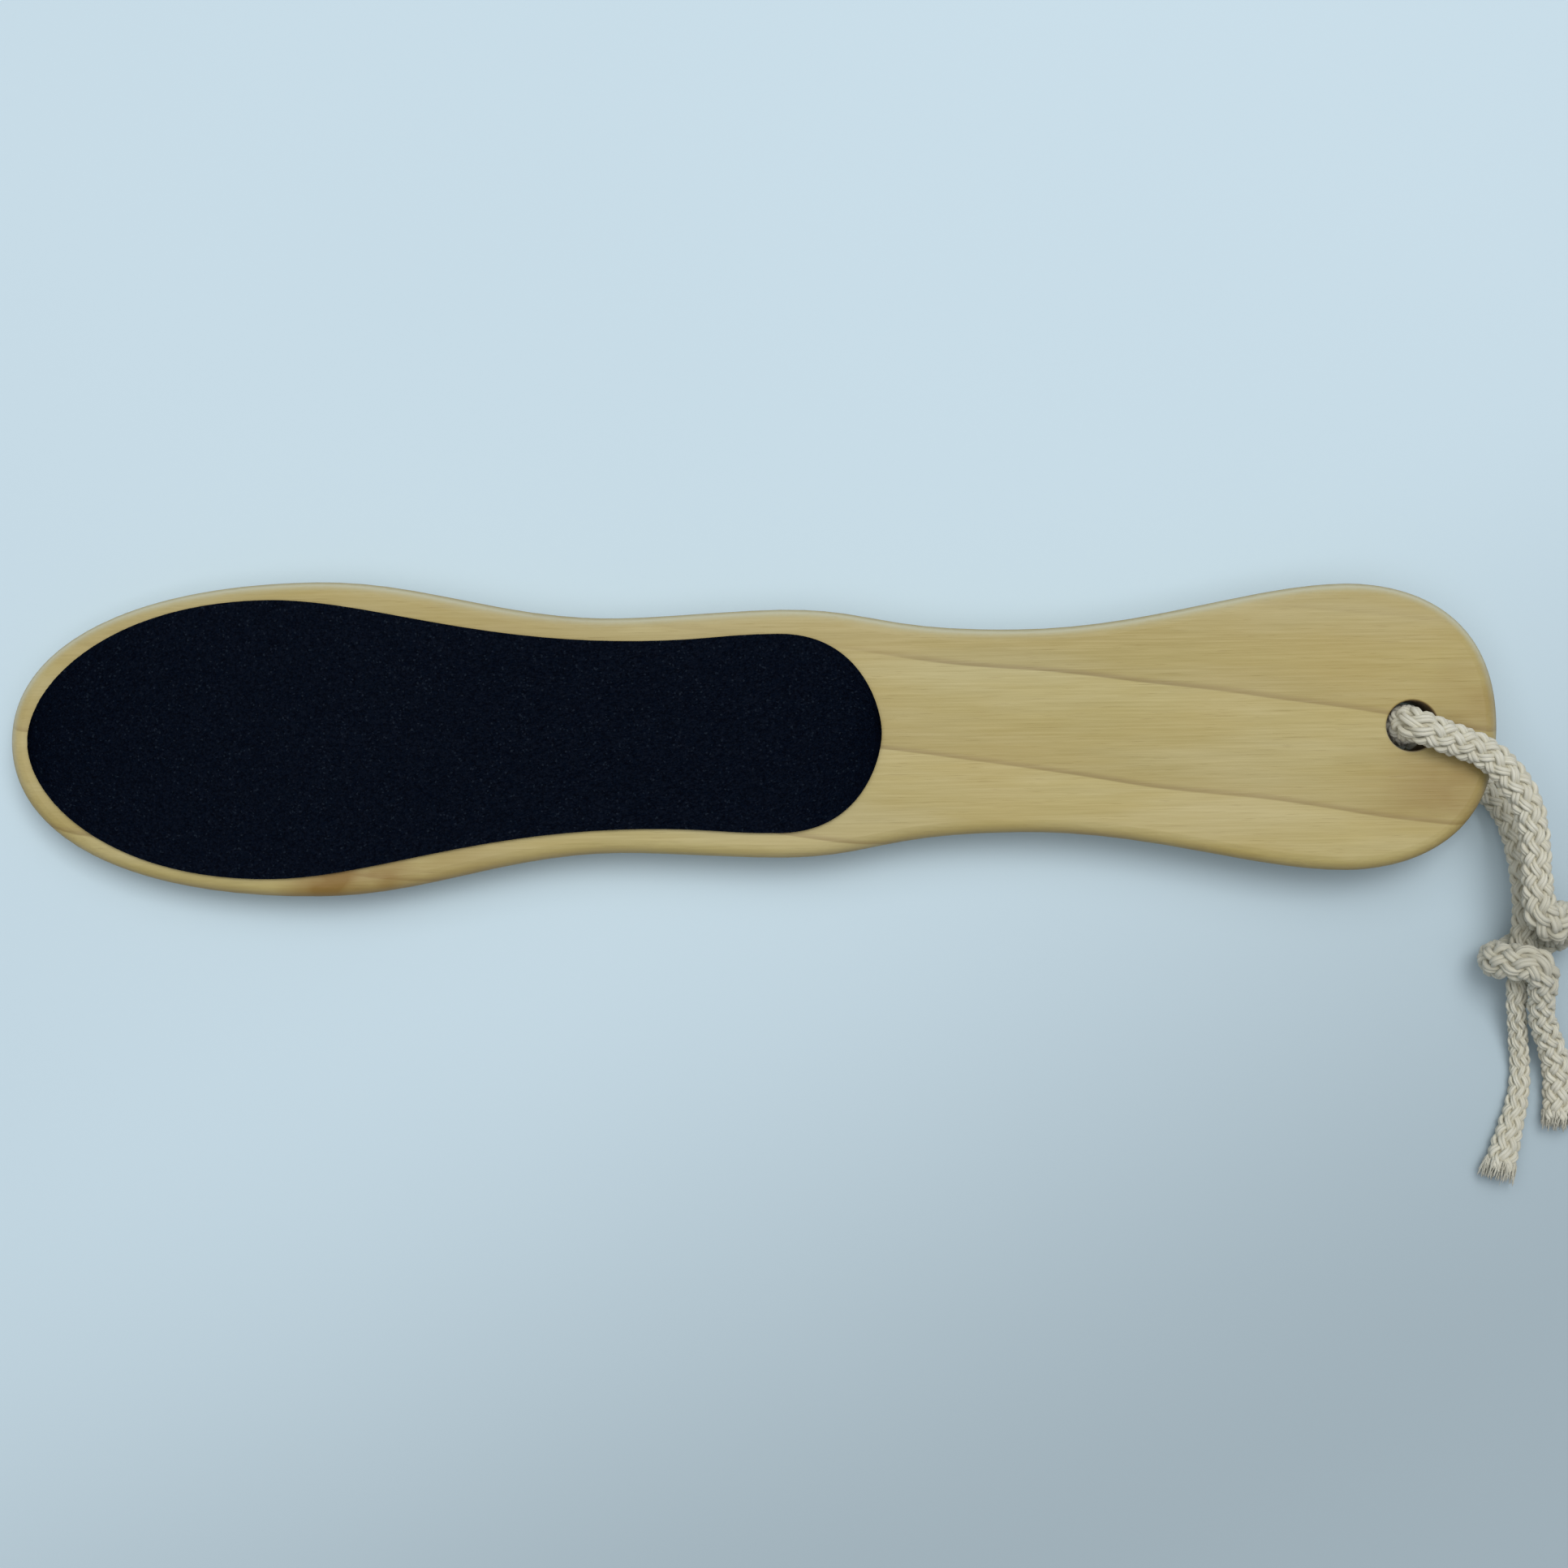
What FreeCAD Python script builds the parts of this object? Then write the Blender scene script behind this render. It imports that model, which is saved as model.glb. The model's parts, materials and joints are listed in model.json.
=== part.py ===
import FreeCAD, Part
import math
import os

# Foot file: a wooden paddle with an abrasive sheet on each face and a knotted hanging cord.
# Millimetres. X runs from the toe of the head to the handle end, Z is up, and the file lies on Z = 0.
os.makedirs("parts", exist_ok=True)
vec = FreeCAD.Vector
up = vec(0, 0, 1)
level_tolerance = 0.001

# Paddle: full widths, and the places along the length where they fall, from the toe
paddle_length = 273.0
paddle_thickness = 10.0
head_width = 58.0
waist_width = 43.2
neck_width = 45.6
grip_width = 37.2
end_width = 52.4
head_place = 57.0
waist_place = 112.5
neck_place = 142.5
grip_place = 186.0
end_place = 245.8
edge_round = 2.4

# Pull of each outline curve along its two end tangents, from the toe on
paddle_pull_shares = [(0.61, 0.62), (0.36, 0.39), (0.27, 0.28), (0.39, 0.60), (0.41, 0.29), (0.33, 0.87)]
sheet_pull_shares = [(0.43, 0.65), (0.26, 0.46), (0.49, 0.43), (0.80, 0.26)]

# Hanging hole
hang_hole_diameter = 9.2
hang_hole_from_end = 15.8
hang_hole_ease = 0.4

# Abrasive sheets: bare wood left round them, places from the toe, and layer thicknesses
toe_margin = 3.8
head_margin = 3.4
waist_margin = 4.4
neck_margin = 4.6
sheet_head_place = 48.5
sheet_waist_place = 117.0
sheet_neck_place = 142.0
sheet_end_place = 160.8
adhesive_thickness = 0.15
backing_thickness = 0.45
grit_thickness = 0.4

# Cord, the gap that it keeps from the wood, and its fold over each mouth of the hole
cord_diameter = 6.0
cord_gap = 0.3
hole_cord_setback = 1.2
fold_run = 5.5
tangent_share = 0.45

# Knot: its middle from the hole, and the wrap that one strand makes round the other
knot_from_hole_x = 22.8
knot_from_hole_y = -39.5
knot_axis_angle = -94.0
knot_core_length = 6.8
wrap_gap = 0.5
wrap_pitch = 8.0
wrap_start_angle = 58.0
wrap_turn_angle = 305.0
wrap_quarters = 4
wrap_bend_run = 5.0
strand_lead = 5.5
entry_way = vec(0.10, -0.98, -0.16).normalize()
exit_way = vec(0.25, -0.87, -0.42).normalize()

# Cord routes, chosen by eye: X and Y from the hole, then the drop from the strand over the wood
over_route = [(19.2, -13.6, 0.0), (14.8, -7.4, 0.0), (8.2, -3.6, 0.0)]

# Cord routes, chosen by eye: X and Y from the hole, then the height over the surface
under_route = [(7.9, -6.1, 3.0), (13.2, -9.7, 3.0), (17.9, -14.7, 3.1)]
under_route += [(21.1, -20.9, 4.7), (22.9, -27.6, 7.8)]
left_tail_route = [(21.5, -54.2, 8.1), (22.0, -60.0, 5.3), (22.4, -66.0, 3.4), (21.8, -72.0, 3.0)]
left_tail_route += [(20.4, -77.8, 3.0), (18.4, -84.0, 3.0)]
right_tail_route = [(28.7, -63.3, 7.1), (29.7, -69.1, 4.1), (30.2, -75.0, 3.0)]

# Sizes that follow
half_length = paddle_length / 2
sheet_stack = adhesive_thickness + backing_thickness + grit_thickness
wood_middle = sheet_stack + paddle_thickness / 2
wood_top = sheet_stack + paddle_thickness
sheet_toe_x = toe_margin - half_length
hang_hole_radius = hang_hole_diameter / 2
hang_hole_x = half_length - hang_hole_from_end
cord_radius = cord_diameter / 2
wrap_radius = cord_diameter + wrap_gap
wrap_length = wrap_pitch * wrap_turn_angle / 360

# The toe lies on the surface, and the cord that passes under the handle lifts the other end
lift = cord_diameter + cord_gap - sheet_stack
lean = math.asin(lift / (hang_hole_x - hang_hole_radius - sheet_toe_x))
lean_shift = wood_middle * math.sin(lean) - sheet_toe_x * (1 - math.cos(lean))


def leaned_point(x, y, z):
    """Turns a point of the level paddle into its place on the leaning one."""
    along = x - sheet_toe_x
    row_x = sheet_toe_x + along * math.cos(lean) - z * math.sin(lean) + lean_shift
    return vec(row_x, y, along * math.sin(lean) + z * math.cos(lean))


def leaned(shape):
    """Lays a solid of the level paddle down on the toe and the cord."""
    turned = shape.copy()
    turned.rotate(vec(sheet_toe_x, 0, 0), vec(0, -1, 0), math.degrees(lean))
    turned.translate(vec(lean_shift, 0, 0))
    return turned


def half_outline(stations, pull_shares):
    """Joins stations of (x, half width) by curves along X at the widths and across X at the tips."""
    curves = []
    for start, end, (first_share, last_share) in zip(stations, stations[1:], pull_shares):
        reach = end[0] - start[0]
        pull_start = vec(start[0] + first_share * reach, start[1], 0)
        pull_end = vec(end[0] - last_share * reach, end[1], 0)
        if start[1] == 0:
            pull_start = vec(start[0], first_share * end[1], 0)
        if end[1] == 0:
            pull_end = vec(end[0], last_share * start[1], 0)
        curve = Part.BezierCurve()
        curve.setPoles([vec(*start, 0), pull_start, pull_end, vec(*end, 0)])
        curves.append(curve.toShape())
    return curves


def slab(stations, pull_shares, bottom, thickness):
    """Raises the outline and its mirror image into a flat plate."""
    upper = half_outline(stations, pull_shares)
    lower = [edge.mirror(vec(0, 0, 0), vec(0, 1, 0)) for edge in upper]
    face = Part.Face(Part.Wire(Part.__sortEdges__(upper + lower)))
    plate = face.extrude(vec(0, 0, thickness))
    plate.translate(vec(0, 0, bottom))
    return plate


def edges_at(shape, levels):
    """Lists the edges that lie level at the given heights."""
    level = [edge for edge in shape.Edges if edge.BoundBox.ZLength < level_tolerance]
    return [edge for edge in level if min(abs(edge.BoundBox.ZMin - z) for z in levels) < level_tolerance]


def make_paddle():
    """Board with rounded edges and a drilled hanging hole."""
    places = [head_place, waist_place, neck_place, grip_place, end_place]
    widths = [head_width, waist_width, neck_width, grip_width, end_width]
    stations = [(place - half_length, width / 2) for place, width in zip(places, widths)]
    stations = [(-half_length, 0), *stations, (half_length, 0)]
    faces = (sheet_stack, wood_top)
    board = slab(stations, paddle_pull_shares, sheet_stack, paddle_thickness)
    board = board.makeFillet(edge_round, edges_at(board, faces))
    drill = Part.makeCylinder(hang_hole_radius, paddle_thickness, vec(hang_hole_x, 0, sheet_stack), up)
    board = board.cut(drill)
    mouths = [edge for edge in edges_at(board, faces) if edge.isClosed()]
    return leaned(board.makeFillet(hang_hole_ease, mouths))


def make_sheet_layer(bottom, thickness):
    """One layer of an abrasive sheet."""
    stations = [
        (sheet_toe_x, 0),
        (sheet_head_place - half_length, head_width / 2 - head_margin),
        (sheet_waist_place - half_length, waist_width / 2 - waist_margin),
        (sheet_neck_place - half_length, neck_width / 2 - neck_margin),
        (sheet_end_place - half_length, 0),
    ]
    return leaned(slab(stations, sheet_pull_shares, bottom, thickness))


def make_sheet_layers():
    """The three layers on each face, from the wood outwards."""
    layers = {}
    thicknesses = [adhesive_thickness, backing_thickness, grit_thickness]
    below = sheet_stack
    above = wood_top
    for layer, thickness in zip(["adhesive_film", "backing_sheet", "grit_coat"], thicknesses):
        below -= thickness
        layers["back_" + layer] = make_sheet_layer(below, thickness)
        layers["front_" + layer] = make_sheet_layer(above, thickness)
        above += thickness
    return layers


def corner_arc(start, corner, end):
    """Arc that leaves start towards the corner and reaches end from it, both as far from the corner."""
    middle = (start + end) / 2
    half_turn = (corner - start).getAngle(end - corner) / 2
    sag_share = math.cos(half_turn) / (1 + math.cos(half_turn))
    return Part.Arc(start, middle + (corner - middle) * sag_share, end).toShape()


def line(start, end):
    """Straight run of a cord."""
    return Part.LineSegment(start, end).toShape()


def routed_edges(name, points):
    """Straight runs between the points, joined by tangent arcs as large as the runs allow."""
    edges = []
    radii = []
    last = points[0]
    for before, corner, after in zip(points, points[1:], points[2:]):
        reach = tangent_share * min((corner - before).Length, (after - corner).Length)
        start = corner + (before - corner).normalize() * reach
        end = corner + (after - corner).normalize() * reach
        half_turn = (corner - before).getAngle(after - corner) / 2
        radii.append(round(reach / math.tan(half_turn), 1))
        edges += [line(last, start), corner_arc(start, corner, end)]
        last = end
    print(name, "bend radii", radii)
    return edges + [line(last, points[-1])]


def tube(name, edges):
    """Sweeps the cord's round section along the edges."""
    path = Part.Wire(edges)
    first = edges[0]
    start = first.FirstParameter
    mouth = Part.makeCircle(cord_radius, first.valueAt(start), first.tangentAt(start))
    solid = path.makePipeShell([Part.Wire(mouth)], True, False)
    volume_ratio = solid.Volume / (math.pi * cord_radius ** 2 * path.Length)
    print(name, "length", round(path.Length, 1), "volume against section by length", round(volume_ratio, 4))
    return solid


def from_hole(route):
    """Places points given from the hole's middle and by height in the part's frame."""
    return [vec(hole_middle.x + x, hole_middle.y + y, height) for x, y, height in route]


def wrap_angle(share):
    """Angle round the knot at a share of the wrap's turn, from the right side over the top."""
    return math.radians(wrap_start_angle - wrap_turn_angle * share)


def wrap_point(share):
    """Point of the wrap's helix at a share of its turn."""
    across = knot_right * math.cos(wrap_angle(share)) + up * math.sin(wrap_angle(share))
    return knot_middle + across * wrap_radius + knot_axis * (wrap_length * (share - 1 / 2))


def wrap_way(share):
    """Direction of the wrap's helix at a share of its turn."""
    around = knot_right * math.sin(wrap_angle(share)) - up * math.cos(wrap_angle(share))
    return (around * (2 * math.pi * wrap_radius) + knot_axis * wrap_pitch).normalize()


def biarc(first_share, last_share):
    """Two arcs that meet smoothly along a stretch of the wrap."""
    start, end = wrap_point(first_share), wrap_point(last_share)
    start_way, end_way = wrap_way(first_share), wrap_way(last_share)
    chord = end - start
    spread = 2 * (1 - start_way.dot(end_way))
    along = chord.dot(start_way + end_way)
    reach = (math.sqrt(along ** 2 + spread * chord.dot(chord)) - along) / spread
    first_corner = start + start_way * reach
    last_corner = end - end_way * reach
    joint = (first_corner + last_corner) / 2
    return [corner_arc(start, first_corner, joint), corner_arc(joint, last_corner, end)]


def knot_edges():
    """The wrap's turn, bent at both ends into the strands that it joins."""
    quarters = [step / wrap_quarters for step in range(wrap_quarters + 1)]
    turns = []
    for first_share, last_share in zip(quarters, quarters[1:]):
        turns += biarc(first_share, last_share)
    arrival = [line(knot_entry, entry_bend), corner_arc(entry_bend, entry_corner, wrap_point(0))]
    departure = [corner_arc(wrap_point(1), exit_corner, exit_bend), line(exit_bend, knot_exit)]
    return arrival + turns + departure


def fold_points(toward, height, rise):
    """Two points that fold the cord out of the hole towards a route point, at a height."""
    foot = vec(hole_middle.x - hole_cord_setback, hole_middle.y, height)
    way = vec(toward.x - foot.x, toward.y - foot.y, 0).normalize()
    slant = fold_run / math.sqrt(2)
    return [foot + way * slant, foot + up * (rise * slant)]


def loop_points():
    """From the knot over the wood, down the hole, under the wood and through the knot."""
    over = [point + up * over_height for point in from_hole([(x, y, -drop) for x, y, drop in over_route])]
    under = from_hole(under_route)
    lead = knot_entry - entry_way * strand_lead
    fold_over = fold_points(over[-1], over_height, -1)
    fold_under = fold_points(under[0], cord_radius, 1)
    return [knot_entry, lead, *over, *fold_over, *reversed(fold_under), *under, core_start, core_end]


def least_gap(edges):
    """Least gap of a tube to itself, between points further apart along it than a round turn back."""
    path = Part.Wire(edges)
    count = int(path.Length / cord_radius * 8)
    points = path.discretize(count)
    step = path.Length / (count - 1)
    apart = int(math.pi * cord_diameter / step)
    pairs = ((a, b) for i, a in enumerate(points) for b in points[i + apart :])
    return min((a - b).Length for a, b in pairs) - cord_diameter


hole_middle = leaned_point(hang_hole_x, 0, wood_middle)
over_height = leaned_point(half_length, 0, wood_top).z + cord_gap + cord_radius

# Knot frame and the points where the strands meet the wrap
knot_axis = vec(math.cos(math.radians(knot_axis_angle)), math.sin(math.radians(knot_axis_angle)), 0)
knot_right = up.cross(knot_axis)
knot_middle = from_hole([(knot_from_hole_x, knot_from_hole_y, wrap_radius + cord_radius)])[0]
core_start = knot_middle - knot_axis * (knot_core_length / 2)
core_end = knot_middle + knot_axis * (knot_core_length / 2)
entry_corner = wrap_point(0) - wrap_way(0) * wrap_bend_run
entry_bend = entry_corner - entry_way * wrap_bend_run
knot_entry = entry_bend - entry_way * cord_diameter
exit_corner = wrap_point(1) + wrap_way(1) * wrap_bend_run
exit_bend = exit_corner + exit_way * wrap_bend_run
knot_exit = exit_bend + exit_way * cord_diameter

left_tail_points = [core_end, core_end + knot_axis * strand_lead, *from_hole(left_tail_route)]
right_tail_points = [knot_exit, knot_exit + exit_way * strand_lead, *from_hole(right_tail_route)]
print("cord_knot least gap to itself", round(least_gap(knot_edges()), 2))

solids = {"wooden_paddle": make_paddle(), **make_sheet_layers()}
solids["cord_loop"] = tube("cord_loop", routed_edges("cord_loop", loop_points()))
solids["cord_knot"] = tube("cord_knot", knot_edges())
solids["cord_tail_left"] = tube("cord_tail_left", routed_edges("cord_tail_left", left_tail_points))
solids["cord_tail_right"] = tube("cord_tail_right", routed_edges("cord_tail_right", right_tail_points))
for node, shape in solids.items():
    shape.exportStep("parts/" + node + ".step")
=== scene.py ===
import json
import math

import bpy
import numpy as np
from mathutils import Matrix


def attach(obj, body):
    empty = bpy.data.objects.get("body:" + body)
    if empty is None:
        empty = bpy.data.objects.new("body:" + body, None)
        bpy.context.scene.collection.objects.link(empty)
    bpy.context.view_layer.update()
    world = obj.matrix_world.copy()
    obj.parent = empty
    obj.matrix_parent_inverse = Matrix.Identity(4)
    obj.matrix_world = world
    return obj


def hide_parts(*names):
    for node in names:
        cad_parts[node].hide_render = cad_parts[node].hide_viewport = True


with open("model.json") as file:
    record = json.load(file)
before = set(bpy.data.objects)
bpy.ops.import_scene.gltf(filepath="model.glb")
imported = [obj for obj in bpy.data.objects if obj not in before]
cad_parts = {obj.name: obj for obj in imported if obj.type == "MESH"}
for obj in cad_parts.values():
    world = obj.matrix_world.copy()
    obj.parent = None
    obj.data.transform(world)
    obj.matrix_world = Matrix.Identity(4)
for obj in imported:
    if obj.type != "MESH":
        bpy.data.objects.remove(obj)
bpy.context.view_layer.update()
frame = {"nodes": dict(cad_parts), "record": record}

# Foot file: wooden paddle, an abrasive sheet on each face and a braided hanging cord with a knot.
# Sizes below are in millimetres, and scene objects are in metres.
mm = 0.001
rng = np.random.default_rng(7)
hole_joint = frame["record"]["behaviour"]["joints"][0]
hole_middle = np.array(hole_joint["pos_m"]) / mm
paddle_normal = np.array(hole_joint["axis"])
paddle_along = np.array([paddle_normal[2], 0.0, -paddle_normal[0]])

# Camera: straight above, turned a little about the vertical
camera_place = (6.2, -9.25, 453.4)
camera_turn = -0.68
photo_side = 1932
focal_pixels = 2960
sensor_width = 36.0

# Cord: section, braid and the profile of its outer radius from the hole along each strand
spline_steps = 24
ring_step = 0.4
yarns_each_way = 6
ends_per_yarn = 2
end_sides = 10
end_spacing_share = 0.2
end_sag_share = 0.045
end_width_share = 0.14
end_height_share = 0.165
end_wander = 0.06
end_swell = 0.08
sway_fast = (0.9, 1.4)
sway_slow = (0.35, 0.6)
yarn_place_share = 0.65
yarn_weave_share = 0.17
core_share = 0.6
core_sides = 10
braid_pitch = 24.0
floor_gap = 0.02
over_lengths = [0, 5, 9, 16, 30, 38, 46, 52, 58, 66, 74, 84, 96, 100, 106, 116, 124, 134]
over_radii = [4.0, 3.6, 3.3, 3.25, 3.15, 3.0, 2.9, 3.2, 4.3, 4.3, 3.4, 3.7, 3.6, 3.0, 2.7, 2.8, 3.1, 3.2]
under_lengths = [0, 5, 9, 30, 45, 60, 66, 72, 84, 89, 93, 97, 101, 104]
under_radii = [4.0, 3.7, 3.0, 2.9, 2.8, 2.6, 2.15, 2.0, 2.05, 2.2, 2.45, 2.8, 3.1, 3.3]

# Cord: values that its material reads, 0 for tucked in and 1 for lifted out, which it paints as shade
# and light, and the scale of its fibres
lift_middle = 0.5
lift_weave_share = 0.28
lift_side_share = 0.22
core_lift = 0.2
# Painted light: the loose fibres of the frayed ends get the lightest value.
fray_lift = 1.0
fibre_along_scale = 0.35
fibre_round_scale = 2.2
fibre_seeds = 90

# Cord route: X and Y from the hole's middle, then the height over the floor
right_tail_route = [(29.8, -73.6, 2.9), (30.1, -70.0, 2.8), (29.8, -64.6, 3.3), (27.9, -59.4, 5.4)]
wrap_exit_route = [(25.4, -54.8, 8.3), (24.3, -50.6, 11.4), (24.0, -47.2, 14.2)]
wrap_exit_route += [(23.1, -44.6, 16.0), (21.0, -43.3, 15.9)]
wrap_entry_route = [(22.3, -34.9, 17.8), (21.6, -27.8, 18.6), (21.2, -21.3, 19.4)]
over_route = [(20.1, -15.3, 20.0), (17.5, -10.2, 20.1), (12.4, -4.9, 20.1), (5.8, -2.5, 20.1)]
fold_route = [(-0.4, 0.1, 20.6), (-0.9, 0.35, 16.4), (-0.4, 0.3, 11.5)]
fold_route += [(-0.6, 0.2, 6.4), (2.0, -2.2, 3.0)]
under_route = [(7.9, -6.1, 3.0), (13.2, -9.7, 3.0), (18.6, -12.6, 3.0)]
under_route += [(21.4, -17.6, 4.2), (22.4, -24.4, 6.8)]
core_route = [(22.6, -32.0, 9.2), (22.0, -39.0, 9.5), (20.9, -46.4, 9.0)]
left_tail_route = [(21.0, -51.6, 7.2), (22.2, -57.0, 4.0), (23.1, -62.6, 2.0), (23.2, -67.6, 1.9)]
left_tail_route += [(21.7, -73.4, 2.2), (19.9, -79.0, 2.8), (18.6, -83.0, 3.1)]

# Knot: the turn that one strand makes round the other
knot_middle = np.array([23.3, -39.9, 9.5])
knot_axis_angle = -94.0
wrap_radius = 6.2
wrap_pitch = 7.6
wrap_start_angle = 58.0
wrap_turn_angle = 290.0
wrap_steps = 13
climb_start_share = 0.1
climb_end_share = 0.72

# Frayed ends: loose fibres on each cut yarn
fibres_per_yarn = 16
fibre_reach = 2.2
fibre_reach_shares = (0.35, 1.0)
fibre_root_depth = 1.5
fibre_place_share = 0.92
fibre_spread = (-0.1, 0.3)
fibre_curl = 0.3
fibre_radius = 0.13
fibre_radius_shares = (0.7, 1.3)
fibre_taper = 0.6
fibre_sides = 5
fibre_rings = 6

# Abrasive coats: columns and rows of grains, how deep the valleys go, and colours
grain_columns = 460
grain_rows = 150
grain_end_angle = 0.03
grain_height_shape = (1.2, 1.6)
front_grain_depth = 0.22
front_fleck_size = 0.3
front_dark = (0.0004, 0.0012, 0.004)
front_light = (0.0012, 0.0032, 0.009)
back_grain_depth = 0.12
back_fleck_size = 0.2
back_dark = (0.0008, 0.0016, 0.004)
back_light = (0.003, 0.005, 0.010)
# Painted glints: gains over the light tone for the brightest few grains
painted_glint_gains = (6.0, 3.6, 2.2)

# Wood: growth rings, and stains as X, Y, reach and strength
ring_spacing = 17.8
ring_slant = 0.133
ring_depth_slant = 0.5
ring_wander = 5.0
ring_shift = 8.0
# Hole wall: radii in millimetres over which its painted shade fades out
bore_edge = (4.6, 4.9)
wood_stains = [(134.0, 4.0, 12.0, 0.42), (130.0, -13.0, 13.0, 0.5), (121.0, -9.0, 15.0, 0.3)]
wood_stains += [(-74.0, -28.0, 14.0, 1.6), (-52.0, -27.5, 14.0, 0.3), (-40.0, 22.0, 20.0, 0.15)]
stain_core_share = 0.25

# Backdrop and lights, in metres and watts
floor_half = 1.6
key_place = (0.2, 0.34, 1.17)
key_target = (0, 0, 0)
key_size = 0.5
key_power = 5.3
key_colour = (1.0, 0.99, 0.97)
overhead_place = (-0.05, 0.2, 1.2)
overhead_target = (0.0, 0.05, 0)
overhead_size = 1.5
overhead_power = 11.0
overhead_colour = (0.95, 0.98, 1.0)
sky_colour = (0.92, 0.96, 1.0, 1.0)
sky_strength = 0.22


def add_piece(name, vertices, faces, material, body, smooth=True):
    """Makes a mesh from points in millimetres, and lets it ride on a body."""
    mesh = bpy.data.meshes.new(name)
    mesh.from_pydata((np.asarray(vertices) * mm).tolist(), [], faces)
    mesh.polygons.foreach_set("use_smooth", [smooth] * len(mesh.polygons))
    mesh.materials.append(material)
    mesh.update()
    piece = bpy.data.objects.new(name, mesh)
    bpy.context.scene.collection.objects.link(piece)
    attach(piece, body)
    return piece


def add_attribute(piece, name, kind, values):
    """Stores a value for each vertex, for the material to read."""
    attribute = piece.data.attributes.new(name, kind, "POINT")
    field = "vector" if kind == "FLOAT_VECTOR" else "value"
    attribute.data.foreach_set(field, np.asarray(values, dtype=np.float32).ravel())


class Shader:
    """A material under construction, with short calls for its nodes."""

    def __init__(self, name):
        self.material = bpy.data.materials.new(name)
        self.material.use_nodes = True
        self.nodes = self.material.node_tree.nodes
        self.links = self.material.node_tree.links
        self.surface = self.nodes["Principled BSDF"]

    def add(self, kind, inputs=None, **settings):
        """Adds a node, sets its properties, and links or sets its inputs."""
        node = self.nodes.new(kind)
        for key, value in settings.items():
            setattr(node, key, value)
        for key, value in (inputs or {}).items():
            self.put(node.inputs[key], value)
        return node

    def put(self, socket, value):
        """Links an output to a socket, or sets the socket's own value."""
        if isinstance(value, bpy.types.NodeSocket):
            self.links.new(value, socket)
        else:
            socket.default_value = value

    def set(self, **inputs):
        """Sets or links the surface's sockets by name, with underscores for spaces."""
        for key, value in inputs.items():
            self.put(self.surface.inputs[key.replace("_", " ")], value)

    def place(self, scale):
        """Object coordinates in millimetres, times a scale along each axis."""
        coordinates = self.add("ShaderNodeTexCoord").outputs["Object"]
        shares = [axis / mm for axis in scale]
        return self.add("ShaderNodeMapping", {"Vector": coordinates, "Scale": shares}).outputs["Vector"]

    def noise(self, vector, detail=2.0, roughness=0.5):
        """Noise between 0 and 1 over coordinates that are already scaled."""
        inputs = {"Vector": vector, "Scale": 1.0, "Detail": detail, "Roughness": roughness}
        return self.add("ShaderNodeTexNoise", inputs).outputs["Fac"]

    def math(self, operation, *values):
        """Arithmetic on outputs and numbers."""
        node = self.add("ShaderNodeMath", operation=operation)
        for socket, value in zip(node.inputs, values):
            self.put(socket, value)
        return node.outputs["Value"]

    def remap(self, value, from_low, from_high, to_low, to_high, kind="LINEAR"):
        """A value carried from one range to another, and held inside it."""
        inputs = {"Value": value, "From Min": from_low, "From Max": from_high}
        inputs.update({"To Min": to_low, "To Max": to_high})
        return self.add("ShaderNodeMapRange", inputs, interpolation_type=kind).outputs["Result"]

    def distance(self, position, x, y):
        """Distance in plan from a place in millimetres."""
        across = self.math("SUBTRACT", position.outputs["X"], x)
        along = self.math("SUBTRACT", position.outputs["Y"], y)
        square = self.math("MULTIPLY_ADD", across, across, self.math("MULTIPLY", along, along))
        return self.math("SQRT", square)

    def ramp(self, value, stops):
        """A colour for each value, from stops of place and colour."""
        node = self.add("ShaderNodeValToRGB", {"Fac": value})
        elements = node.color_ramp.elements
        while len(elements) < len(stops):
            elements.new(1.0)
        for element, (place, colour) in zip(elements, stops):
            element.position = place
            element.color = (*colour, 1.0)
        return node.outputs["Color"]

    def mix(self, factor, first, second, blend="MIX"):
        """One colour over another."""
        node = self.add("ShaderNodeMix", data_type="RGBA", blend_type=blend)
        self.put(node.inputs["Factor"], factor)
        for socket, value in zip([s for s in node.inputs if s.type == "RGBA"], (first, second)):
            self.put(socket, value if isinstance(value, bpy.types.NodeSocket) else (*value, 1.0))
        return next(s for s in node.outputs if s.type == "RGBA")

    def bump(self, height, distance, strength=1.0):
        """Fine relief, with its depth in millimetres."""
        inputs = {"Height": height, "Distance": distance * mm, "Strength": strength}
        self.set(Normal=self.add("ShaderNodeBump", inputs).outputs["Normal"])


# Materials
def ring_colour(wood, position):
    """Wide growth rings: each has a dark line, is light below it, and darkens towards the next."""
    early, middle, late = (0.424, 0.352, 0.143), (0.398, 0.327, 0.128), (0.372, 0.3, 0.113)
    line, line_side = (0.27, 0.205, 0.075), (0.295, 0.225, 0.085)
    plain_wood = (0.395, 0.318, 0.126)
    lower_gain = (1.045, 1.05, 1.1)
    wander_scale = (0.012, 0.05, 0.05)
    plain_band = (12.5, 16.0)
    plain_strength = 0.85
    wander = wood.noise(wood.place(wander_scale))
    across = wood.math("MULTIPLY_ADD", position.outputs["X"], ring_slant, position.outputs["Y"])
    across = wood.math("MULTIPLY_ADD", position.outputs["Z"], ring_depth_slant, across)
    across = wood.math("MULTIPLY_ADD", wander, ring_wander, across)
    across = wood.math("ADD", across, ring_shift)
    ring = wood.math("FRACT", wood.math("DIVIDE", across, ring_spacing))
    tones = [(0.0, early), (0.014, line), (0.032, line_side), (0.07, late), (0.5, middle), (0.85, early)]
    plain = wood.remap(position.outputs["Y"], *plain_band, 0.0, plain_strength)
    colour = wood.mix(plain, wood.ramp(ring, tones), plain_wood)
    lower_ring = wood.math("LESS_THAN", across, ring_spacing)
    return wood.mix(lower_ring, colour, lower_gain, "MULTIPLY")


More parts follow.
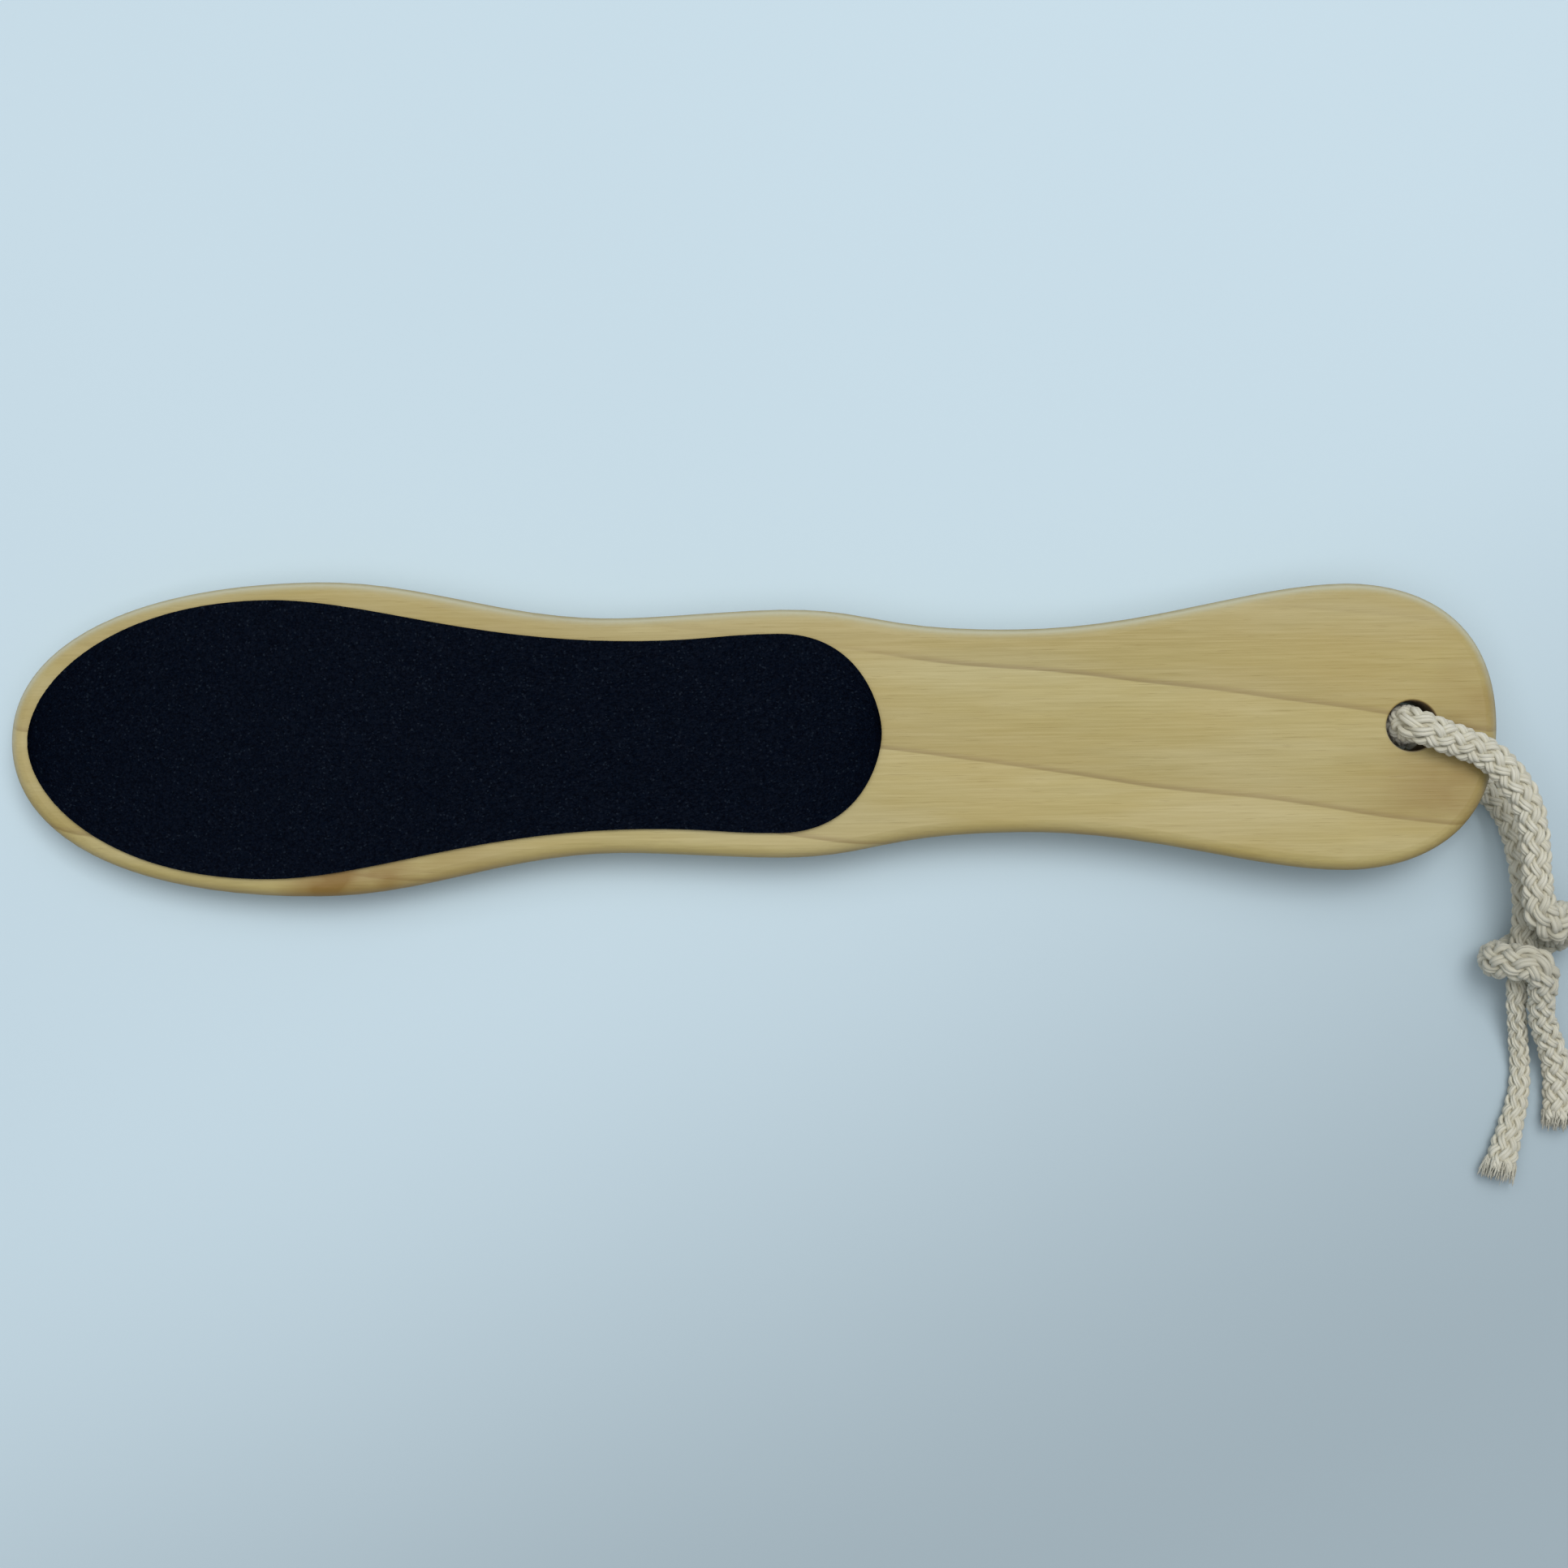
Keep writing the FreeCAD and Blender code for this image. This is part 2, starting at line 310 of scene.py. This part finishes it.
def grain_colour(wood, colour, streak, pore):
    """Fine streaks, short pores, and slow changes of tone over the board."""
    pore_tone, blotch_tone = (0.27, 0.19, 0.08), (0.41, 0.30, 0.105)
    streak_gains = [(0.3, (0.91, 0.90, 0.87)), (0.7, (1.04, 1.04, 1.035))]
    tint_gains = [(0.36, (0.985, 0.96, 0.86)), (0.64, (1.065, 1.085, 1.21))]
    blotch_scale, tint_scale = (0.02, 0.045, 0.06), (0.02, 0.11, 0.11)
    blotch_strength = 0.3
    colour = wood.mix(1.0, colour, wood.ramp(streak, streak_gains), "MULTIPLY")
    colour = wood.mix(pore, colour, pore_tone)
    blotch = wood.remap(wood.noise(wood.place(blotch_scale)), 0.4, 0.7, 0.0, blotch_strength)
    colour = wood.mix(blotch, colour, blotch_tone)
    tint = wood.noise(wood.place(tint_scale), 3.0, 0.6)
    return wood.mix(1.0, colour, wood.ramp(tint, tint_gains), "MULTIPLY")


def edge_colour(wood, colour):
    """Warmer wood on the sides, partly its own tone and partly painted shade that is strongest on the
    near side, and a painted highlight as a pale band on the far side's rounding.
    """
    warm, pale = (0.29, 0.18, 0.055), (0.55, 0.54, 0.40)
    far_warmth, painted_highlight_strength = 0.35, 0.8
    patch_scale = (0.03, 0.03, 0.1)
    patch_strengths = (0.45, 0.95)
    facing = wood.add("ShaderNodeTexCoord").outputs["Normal"]
    inputs = {0: facing, 1: tuple(paddle_normal)}
    level = wood.add("ShaderNodeVectorMath", inputs, operation="DOT_PRODUCT").outputs["Value"]
    level = wood.math("ABSOLUTE", level)
    side = wood.add("ShaderNodeSeparateXYZ", {"Vector": facing}).outputs["Y"]
    edge = wood.remap(level, 0.35, 0.96, 1.0, 0.0)
    # Painted shade: the warm tone is strongest on the side that faces away from the light.
    edge = wood.math("MULTIPLY", edge, wood.remap(side, -0.4, 0.2, 1.0, far_warmth))
    patch = wood.remap(wood.noise(wood.place(patch_scale)), 0.35, 0.65, *patch_strengths)
    colour = wood.mix(wood.math("MULTIPLY", edge, patch), colour, warm)
    # Painted highlight: a pale band on the rounding of the far side, which faces the light.
    from_face = wood.remap(level, 0.7, 0.998, 1.0, 0.0)
    from_wall = wood.remap(level, 0.2, 0.7, 0.0, 1.0)
    rim = wood.math("MULTIPLY", from_face, from_wall)
    rim = wood.math("MULTIPLY", rim, wood.remap(side, -0.35, 0.3, 0.0, painted_highlight_strength))
    return wood.mix(rim, colour, pale)


def mark_colour(wood, colour, position):
    """Brown stains on the board, and painted shade on the wall of the hole."""
    stain_tone, bore_shade_tone = (0.24, 0.14, 0.03), (0.15, 0.092, 0.042)
    mottle_scale = (0.08, 0.12, 0.08)
    bore_shade_strength = 0.9
    mottle = wood.remap(wood.noise(wood.place(mottle_scale)), 0.35, 0.6, 0.3, 1.0)
    for stain_x, stain_y, reach, strength in wood_stains:
        distance = wood.distance(position, stain_x, stain_y)
        stain = wood.remap(distance, stain_core_share * reach, reach, strength, 0.0)
        colour = wood.mix(wood.math("MULTIPLY", stain, mottle), colour, stain_tone)
    # Painted shade: the wall of the hole is darkened towards dark brown.
    bore = wood.distance(position, hole_middle[0], hole_middle[1])
    return wood.mix(wood.remap(bore, *bore_edge, bore_shade_strength, 0.0), colour, bore_shade_tone)


def wood_material():
    """Pale sanded softwood: wide growth rings, fine streaks and stains, edges toned partly by painted
    shade and a painted highlight, and painted shade in the hole.
    """
    wood = Shader("pale_wood")
    streak_scale, pore_scale = (0.03, 2.6, 2.6), (0.16, 4.5, 4.5)
    pore_strength, pore_depth, relief = 0.28, -1.2, 0.05
    position = wood.add("ShaderNodeSeparateXYZ", {"Vector": wood.place((1, 1, 1))})
    streak = wood.noise(wood.place(streak_scale), 4.0, 0.6)
    pore = wood.remap(wood.noise(wood.place(pore_scale), 1.0), 0.66, 0.76, 0.0, pore_strength)
    colour = grain_colour(wood, ring_colour(wood, position), streak, pore)
    colour = mark_colour(wood, edge_colour(wood, colour), position)
    roughness = wood.remap(streak, 0.3, 0.7, 0.62, 0.48)
    wood.set(Base_Color=colour, Roughness=roughness, IOR=1.45)
    wood.bump(wood.math("MULTIPLY_ADD", pore, pore_depth, streak), relief)
    return wood.material


def grit_material(name, dark, light, fleck_size):
    """Near-black mineral grains in resin, with painted glints on a few facets."""
    grit = Shader(name)
    fleck_scale = 1 / fleck_size
    relief, relief_strength = 0.08, 0.6
    inputs = {"Vector": grit.place((fleck_scale,) * 3), "Scale": 1.0}
    grain = grit.add("ShaderNodeTexVoronoi", inputs)
    shade = grit.add("ShaderNodeSeparateColor", {"Color": grain.outputs["Color"]}).outputs["Red"]
    # Painted glints: the brightest few cells get a much paler colour.
    painted_glint = tuple(channel * gain for channel, gain in zip(light, painted_glint_gains))
    colour = grit.ramp(shade, [(0.0, dark), (0.75, light), (0.965, light), (0.985, painted_glint)])
    roughness = grit.remap(shade, 0.0, 1.0, 0.75, 0.5)
    grit.set(Base_Color=colour, Roughness=roughness, Specular_IOR_Level=0.03)
    grit.bump(grain.outputs["Distance"], relief, relief_strength)
    return grit.material


def backing_material():
    """Dark woven cloth that carries the grains."""
    backing = Shader("sheet_backing")
    weave_dark, weave_light = (0.006, 0.008, 0.012), (0.02, 0.022, 0.028)
    weave_scale, relief = 0.9, 0.03
    inputs = {"Vector": backing.place((1, 1, 1)), "Scale": weave_scale}
    weave = backing.add("ShaderNodeTexWave", inputs).outputs["Fac"]
    colour = backing.ramp(weave, [(0.2, weave_dark), (0.8, weave_light)])
    backing.set(Base_Color=colour, Roughness=0.8)
    backing.bump(weave, relief)
    return backing.material


def adhesive_material():
    """Thin amber glue film."""
    adhesive = Shader("adhesive_film")
    amber_dark, amber_light = (0.10, 0.075, 0.035), (0.17, 0.125, 0.06)
    cloud_scale = (0.4, 0.4, 0.4)
    cloud = adhesive.noise(adhesive.place(cloud_scale), 3.0)
    colour = adhesive.ramp(cloud, [(0.3, amber_dark), (0.7, amber_light)])
    adhesive.set(Base_Color=colour, Roughness=adhesive.remap(cloud, 0.3, 0.7, 0.3, 0.45))
    return adhesive.material


def cord_material():
    """Undyed cotton: cream, darker near the knot, with painted shade where the yarns tuck under each
    other and painted light on the lifted yarns and loose fibres.
    """
    cotton = Shader("cotton_cord")
    tucked, outer, lifted = (0.49, 0.455, 0.345), (0.60, 0.575, 0.465), (0.66, 0.64, 0.55)
    yellowed, knot_tone = (0.55, 0.515, 0.40), (0.43, 0.41, 0.33)
    tone_scale, tone_strength = (0.25, 0.25, 0.25), 0.4
    knot_tone_band, knot_tone_strength = (5.0, 13.0), 0.45
    relief = 0.09
    fibre_gains = [(0.3, (0.84, 0.83, 0.80)), (0.65, (1.05, 1.05, 1.05))]
    lift = cotton.add("ShaderNodeAttribute", attribute_name="lift").outputs["Fac"]
    fibre_place = cotton.add("ShaderNodeAttribute", attribute_name="fibre").outputs["Vector"]
    fibre = cotton.noise(fibre_place, 3.0, 0.6)
    # Painted shade and light: tucked parts of the yarns darkest, lifted parts lightest.
    colour = cotton.ramp(lift, [(0.2, tucked), (0.6, outer), (0.95, lifted)])
    tone = cotton.noise(cotton.place(tone_scale))
    colour = cotton.mix(cotton.remap(tone, 0.35, 0.7, 0.0, tone_strength), colour, yellowed)
    place = cotton.add("ShaderNodeSeparateXYZ", {"Vector": cotton.place((1, 1, 1))})
    # A darker tone towards the knot's middle.
    knot = cotton.distance(place, hole_middle[0] + knot_middle[0], hole_middle[1] + knot_middle[1])
    near_knot = cotton.remap(knot, *knot_tone_band, knot_tone_strength, 0.0)
    colour = cotton.mix(near_knot, colour, knot_tone)
    colour = cotton.mix(1.0, colour, cotton.ramp(fibre, fibre_gains), "MULTIPLY")
    cotton.set(Base_Color=colour, Roughness=0.9, Sheen_Weight=0.2, Specular_IOR_Level=0.2)
    cotton.bump(fibre, relief)
    return cotton.material


def floor_material():
    """Pale matt backdrop with a faint mottle, and painted shade that darkens it towards the near right
    corner.
    """
    floor = Shader("pale_floor")
    blue_dark, blue_light = (0.565, 0.690, 0.765), (0.585, 0.710, 0.785)
    mottle_scale = (0.004, 0.004, 0.004)
    painted_shade_slant, painted_shade_band, painted_shade_strength = -0.5, (-5.0, -195.0), 0.36
    mottle = floor.noise(floor.place(mottle_scale), 3.0)
    colour = floor.ramp(mottle, [(0.3, blue_dark), (0.7, blue_light)])
    position = floor.add("ShaderNodeSeparateXYZ", {"Vector": floor.place((1, 1, 1))})
    # Painted shade: the floor's colour darkens smoothly towards the near right corner.
    corner = floor.math("MULTIPLY_ADD", position.outputs["X"], painted_shade_slant, position.outputs["Y"])
    painted_shade = floor.remap(corner, *painted_shade_band, 0.0, painted_shade_strength, "SMOOTHSTEP")
    colour = floor.mix(painted_shade, colour, (0.0, 0.0, 0.0))
    floor.set(Base_Color=colour, Roughness=0.85, Specular_IOR_Level=0.1)
    return floor.material


# Camera
def add_camera():
    """Looks straight down at the file as the photograph does."""
    data = bpy.data.cameras.new("camera")
    data.sensor_width = sensor_width
    data.lens = sensor_width * focal_pixels / photo_side
    camera = bpy.data.objects.new("camera", data)
    camera.location = [value * mm for value in camera_place]
    camera.rotation_euler = (0, 0, math.radians(camera_turn))
    bpy.context.scene.collection.objects.link(camera)
    bpy.context.scene.camera = camera


# Cord
def wrap_points():
    """Points of the turn round the knot, from its end back to its start, from the hole and the floor."""
    angle = math.radians(knot_axis_angle)
    axis = np.array([math.cos(angle), math.sin(angle), 0.0])
    right = np.array([-axis[1], axis[0], 0.0])
    up = np.array([0.0, 0.0, 1.0])
    points = []
    for step in range(wrap_steps, -1, -1):
        share = step / wrap_steps
        turn = math.radians(wrap_start_angle - wrap_turn_angle * share)
        climb = np.clip((share - climb_start_share) / (climb_end_share - climb_start_share), 0, 1)
        climb = wrap_pitch * (climb * climb * (3 - 2 * climb) - 1 / 2)
        around = right * math.cos(turn) + up * math.sin(turn)
        points.append(tuple(knot_middle + around * wrap_radius + axis * climb))
    return points


def spline_points(route):
    """Points along a smooth spline that has the route as its control points."""
    curve = bpy.data.curves.new("cord_route", "CURVE")
    curve.dimensions = "3D"
    curve.resolution_u = spline_steps
    spline = curve.splines.new("NURBS")
    spline.points.add(len(route) - 1)
    for point, place in zip(spline.points, route):
        point.co = (*place, 1.0)
    spline.order_u = 3
    spline.use_endpoint_u = True
    holder = bpy.data.objects.new("cord_route", curve)
    mesh = bpy.data.meshes.new_from_object(holder)
    points = np.array([vertex.co for vertex in mesh.vertices])
    bpy.data.objects.remove(holder)
    bpy.data.curves.remove(curve)
    bpy.data.meshes.remove(mesh)
    return points


def unit(vectors):
    """Vectors of length one."""
    return vectors / np.linalg.norm(vectors, axis=-1, keepdims=True)


class CordLine:
    """The cord's middle line, measured from the hole: positive over the wood, negative under it."""

    def __init__(self, points):
        steps = np.linalg.norm(np.diff(points, axis=0), axis=1)
        middle = int(np.argmin(np.linalg.norm(points - hole_middle, axis=1)))
        self.points = points
        self.lengths = np.concatenate([[0.0], np.cumsum(steps)])
        self.lengths -= self.lengths[middle]
        self.ways = unit(np.gradient(points, self.lengths, axis=0))
        self.sides = np.zeros_like(points)
        self.sides[middle] = (0.0, 1.0, 0.0)
        for order in (range(middle + 1, len(points)), range(middle - 1, -1, -1)):
            side = self.sides[middle]
            for index in order:
                side = side - self.ways[index] * side.dot(self.ways[index])
                side = side / np.linalg.norm(side)
                self.sides[index] = side

    def at(self, field, lengths):
        """A field of the line at places along it."""
        return np.stack([np.interp(lengths, self.lengths, field[:, axis]) for axis in range(3)], axis=1)

    def frame_at(self, lengths):
        """Middle, side and upper direction of the section at places along the line."""
        way = unit(self.at(self.ways, lengths))
        side = self.at(self.sides, lengths)
        side = unit(side - way * np.sum(side * way, axis=1, keepdims=True))
        return self.at(self.points, lengths), side, np.cross(way, side)


def outer_radius(lengths):
    """The cord's outer radius at places along its line."""
    over = np.interp(lengths, over_lengths, over_radii)
    under = np.interp(-lengths, under_lengths, under_radii)
    return np.where(lengths >= 0, over, under)


class TubeMesh:
    """Tubes gathered into one mesh, with the values that the cord's material reads."""

    def __init__(self):
        self.vertices = []
        self.faces = []
        self.lift = []
        self.fibre = []
        self.count = 0

    def add(self, rings, lift, fibre):
        """Adds a closed tube from an array of rings by sides by three."""
        ring_count, sides, _ = rings.shape
        base = self.count
        for ring in range(ring_count - 1):
            first = base + ring * sides
            for side in range(sides):
                after = (side + 1) % sides
                lower = (first + side, first + after)
                self.faces.append((*lower, first + sides + after, first + sides + side))
        self.faces.append(tuple(range(base + sides - 1, base - 1, -1)))
        last = base + (ring_count - 1) * sides
        self.faces.append(tuple(range(last, last + sides)))
        self.vertices.append(rings.reshape(-1, 3))
        self.lift.append(np.broadcast_to(lift, (ring_count, sides)).reshape(-1))
        self.fibre.append(fibre.reshape(-1, 3))
        self.count += ring_count * sides


def fibre_places(lengths, turns, seed_shift):
    """Coordinates in which fibres run along a yarn, without a seam round it."""
    along = lengths[:, None] * fibre_along_scale + seed_shift
    along = np.broadcast_to(along, (len(lengths), len(turns)))
    across = np.broadcast_to(np.cos(turns) * fibre_round_scale, along.shape)
    over = np.broadcast_to(np.sin(turns) * fibre_round_scale, along.shape)
    return np.stack([along, across, over], axis=2)


def tube_rings(middles, sides, ups, widths, heights, turns):
    """Rings of an oval section about each middle."""
    across = sides[:, None, :] * (widths[:, None] * np.cos(turns))[:, :, None]
    over = ups[:, None, :] * (heights[:, None] * np.sin(turns))[:, :, None]
    return middles[:, None, :] + across + over


def yarn_middles(line, lengths, direction, start_turn):
    """Middle line of a yarn that weaves over and under those that run the other way."""
    middles, sides, ups = line.frame_at(lengths)
    phase = 2 * math.pi * lengths / braid_pitch
    turn = direction * phase + start_turn
    weave = direction * np.cos(yarns_each_way * phase)
    radial = sides * np.cos(turn)[:, None] + ups * np.sin(turn)[:, None]
    reach = outer_radius(lengths) * (yarn_place_share + yarn_weave_share * weave)
    return middles + radial * reach[:, None], radial, weave


def wander(lengths):
    """A slow random sway along a yarn, between -1 and 1."""
    fast = rng.uniform(*sway_fast)
    slow = rng.uniform(*sway_slow)
    start, later = rng.uniform(0, 2 * math.pi, 2)
    return (np.sin(fast * lengths + start) + np.sin(slow * lengths + later)) / 2


def add_yarn(tubes, line, lengths, direction, start_turn):
    """One yarn of the braid: soft ends that lie side by side."""
    middles, radial, weave = yarn_middles(line, lengths, direction, start_turn)
    way = unit(np.gradient(middles, axis=0))
    up = unit(radial - way * np.sum(radial * way, axis=1, keepdims=True))
    side = np.cross(way, up)
    turns = np.arange(end_sides) * 2 * math.pi / end_sides
    radius = outer_radius(lengths)
    for end in range(ends_per_yarn):
        rank = end - (ends_per_yarn - 1) / 2
        across = rank * end_spacing_share * radius + end_wander * wander(lengths)
        over = end_wander * wander(lengths) - abs(rank) * end_sag_share * radius
        places = middles + side * across[:, None] + up * over[:, None]
        swell = radius * (1 + end_swell * wander(lengths))
        rings = tube_rings(places, side, up, swell * end_width_share, swell * end_height_share, turns)
        # Painted shade: lower values where a yarn dips under the others and on its inner side.
        lift = lift_middle + lift_weave_share * weave[:, None] + lift_side_share * np.sin(turns)[None, :]
        tubes.add(rings, lift, fibre_places(lengths, turns, rng.uniform(0, fibre_seeds)))


def add_core(tubes, line, lengths):
    """Filling inside the braid."""
    middles, sides, ups = line.frame_at(lengths)
    turns = np.arange(core_sides) * 2 * math.pi / core_sides
    radius = outer_radius(lengths) * core_share
    rings = tube_rings(middles, sides, ups, radius, radius, turns)
    tubes.add(rings, core_lift, fibre_places(lengths, turns, 0.0))


def add_fray(tubes, line, end, outward):
    """Loose fibres past a cut end: outward is the sign of the length that leaves the cord."""
    radius = float(outer_radius(np.array([end]))[0])
    middle, side, up = (field[0] for field in line.frame_at(np.array([end])))
    way = np.cross(side, up) * outward
    turns = np.arange(fibre_sides) * 2 * math.pi / fibre_sides
    shares = np.linspace(0.0, 1.0, fibre_rings)
    ring_sides = np.tile(side, (fibre_rings, 1))
    ring_ups = np.tile(up, (fibre_rings, 1))
    for _ in range(2 * yarns_each_way * fibres_per_yarn):
        place = radius * math.sqrt(rng.uniform(0, 1)) * fibre_place_share
        turn = rng.uniform(0, 2 * math.pi)
        outward_way = side * math.cos(turn) + up * math.sin(turn)
        reach = fibre_reach * rng.uniform(*fibre_reach_shares)
        spread = rng.uniform(*fibre_spread) * place / radius
        curl = rng.normal(0, fibre_curl, 3)
        root = middle + outward_way * place - way * fibre_root_depth
        run = root + np.outer(shares * (reach + fibre_root_depth), way + outward_way * spread)
        run = run + np.outer(shares ** 2, curl)
        thin = fibre_radius * (1 - fibre_taper * shares) * rng.uniform(*fibre_radius_shares)
        rings = tube_rings(run, ring_sides, ring_ups, thin, thin, turns)
        tubes.add(rings, fray_lift, fibre_places(shares, turns, rng.uniform(0, fibre_seeds)))


def add_strand(name, line, end, material, nodes):
    """One strand of the cord, from the hole's middle to a cut end."""
    outward = math.copysign(1, end)
    lengths = np.linspace(0.0, end, int(abs(end) / ring_step) + 1)
    tubes = TubeMesh()
    for index in range(yarns_each_way):
        for direction in (1, -1):
            add_yarn(tubes, line, lengths, direction, index * 2 * math.pi / yarns_each_way)
    add_core(tubes, line, lengths)
    add_fray(tubes, line, end, outward)
    vertices = np.concatenate(tubes.vertices)
    vertices[:, 2] = np.maximum(vertices[:, 2], floor_gap)
    strand = add_piece(name, vertices, tubes.faces, material, "cord")
    add_attribute(strand, "lift", "FLOAT", np.concatenate(tubes.lift))
    add_attribute(strand, "fibre", "FLOAT_VECTOR", np.concatenate(tubes.fibre))
    path = line.at(line.points, lengths) * mm
    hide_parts(*nodes)


def add_cord():
    """The whole cord on one spline, split where the hole hides it."""
    before = right_tail_route + wrap_exit_route + wrap_points()
    after = wrap_entry_route + over_route + fold_route + under_route + core_route + left_tail_route
    route = [(hole_middle[0] + x, hole_middle[1] + y, height) for x, y, height in before + after]
    line = CordLine(spline_points(route[::-1]))
    material = cord_material()
    over_nodes = ("cord_loop", "cord_knot", "cord_tail_right")
    add_strand("cord_over_strand", line, line.lengths[-1], material, over_nodes)
    add_strand("cord_under_strand", line, line.lengths[0], material, ("cord_loop", "cord_tail_left"))


# Abrasive coats
def add_grit_coat(node, name, material, depth, side):
    """Grains over the outline of a sheet: side is 1 for the front and -1 for the back."""
    places = np.array([vertex.co for vertex in frame["nodes"][node].data.vertices]) / mm
    along = places @ paddle_along
    height = places @ paddle_normal * side
    rim = np.unique(np.round(np.stack([along, np.abs(places[:, 1])], axis=1), 3), axis=0)
    low, high = along.min(), along.max()
    angles = np.linspace(grain_end_angle, math.pi - grain_end_angle, grain_columns)
    shares = (1 - np.cos(angles)) / 2
    columns = low + (high - low) * shares
    half_widths = np.interp(columns, rim[:, 0], rim[:, 1])
    rows = np.linspace(-1, 1, grain_rows)
    top = height.max() - depth * rng.beta(*grain_height_shape, (grain_columns, grain_rows))
    x = np.broadcast_to(columns[:, None], top.shape)
    y = half_widths[:, None] * rows[None, :]
    grid = np.stack([x, y, top], axis=2).reshape(-1, 3)
    bottom = np.stack([np.repeat(columns, 2), np.outer(half_widths, (-1, 1)).ravel()], axis=1)
    bottom = np.column_stack([bottom, np.full(len(bottom), height.min())])
    local = np.concatenate([grid, bottom])
    vertices = np.outer(local[:, 0], paddle_along) + np.outer(local[:, 2] * side, paddle_normal)
    vertices[:, 1] += local[:, 1]
    faces = grit_faces()
    if side < 0:
        faces = [face[::-1] for face in faces]
    coat = add_piece(name, vertices, faces, material, "paddle", smooth=False)
    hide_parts(node)


def grit_faces():
    """Faces of a closed plate: a grid on top, one strip below, and walls round both."""
    faces = []
    floor = grain_columns * grain_rows
    for column in range(grain_columns - 1):
        first = column * grain_rows
        after = first + grain_rows
        for row in range(grain_rows - 1):
            faces.append((first + row, after + row, after + row + 1, first + row + 1))
        low = floor + 2 * column
        faces.append((low, low + 1, low + 3, low + 2))
        faces.append((low, low + 2, after, first))
        faces.append((low + 3, low + 1, first + grain_rows - 1, after + grain_rows - 1))
    last = (grain_columns - 1) * grain_rows
    faces.append((*range(grain_rows), floor + 1, floor))
    end = floor + 2 * (grain_columns - 1)
    faces.append((*range(last + grain_rows - 1, last - 1, -1), end, end + 1))
    return faces


# Backdrop
def add_floor():
    """Pale floor, whose material paints shade towards the near right corner."""
    corners = [(x * floor_half, y * floor_half, 0) for x, y in ((-1, -1), (1, -1), (1, 1), (-1, 1))]
    mesh = bpy.data.meshes.new("floor")
    mesh.from_pydata(corners, [], [(0, 1, 2, 3)])
    mesh.materials.append(floor_material())
    floor = bpy.data.objects.new("floor", mesh)
    bpy.context.scene.collection.objects.link(floor)


def add_light(name, place, target, size, energy, colour):
    """A soft square light that faces a target."""
    data = bpy.data.lights.new(name, "AREA")
    data.size = size
    data.energy = energy
    data.color = colour
    light = bpy.data.objects.new(name, data)
    light.location = place
    way = np.array(target) - np.array(place)
    level = math.hypot(way[0], way[1])
    light.rotation_euler = (math.atan2(level, -way[2]), 0, math.atan2(way[1], way[0]) - math.pi / 2)
    bpy.context.scene.collection.objects.link(light)


def add_lights():
    """A soft light from the upper right, a wide panel overhead, and a faint even sky."""
    add_light("key_light", key_place, key_target, key_size, key_power, key_colour)
    overhead_aim = (overhead_place, overhead_target)
    add_light("overhead_light", *overhead_aim, overhead_size, overhead_power, overhead_colour)
    world = bpy.data.worlds.new("sky")
    world.use_nodes = True
    sky = world.node_tree.nodes["Background"]
    sky.inputs["Color"].default_value = sky_colour
    sky.inputs["Strength"].default_value = sky_strength
    bpy.context.scene.world = world
    bpy.context.scene.view_settings.view_transform = "Standard"


def dress_nodes():
    """Gives each carried-over piece its material."""
    backing = backing_material()
    adhesive = adhesive_material()
    finishes = {"wooden_paddle": wood_material()}
    for face in ("front", "back"):
        finishes[face + "_backing_sheet"] = backing
        finishes[face + "_adhesive_film"] = adhesive
    for node, material in finishes.items():
        mesh = frame["nodes"][node].data
        mesh.materials.clear()
        mesh.materials.append(material)


add_camera()
add_cord()
front_grit = grit_material("front_grit", front_dark, front_light, front_fleck_size)
back_grit = grit_material("back_grit", back_dark, back_light, back_fleck_size)
add_grit_coat("front_grit_coat", "front_grit", front_grit, front_grain_depth, 1)
add_grit_coat("back_grit_coat", "back_grit", back_grit, back_grain_depth, -1)
dress_nodes()
add_floor()
add_lights()
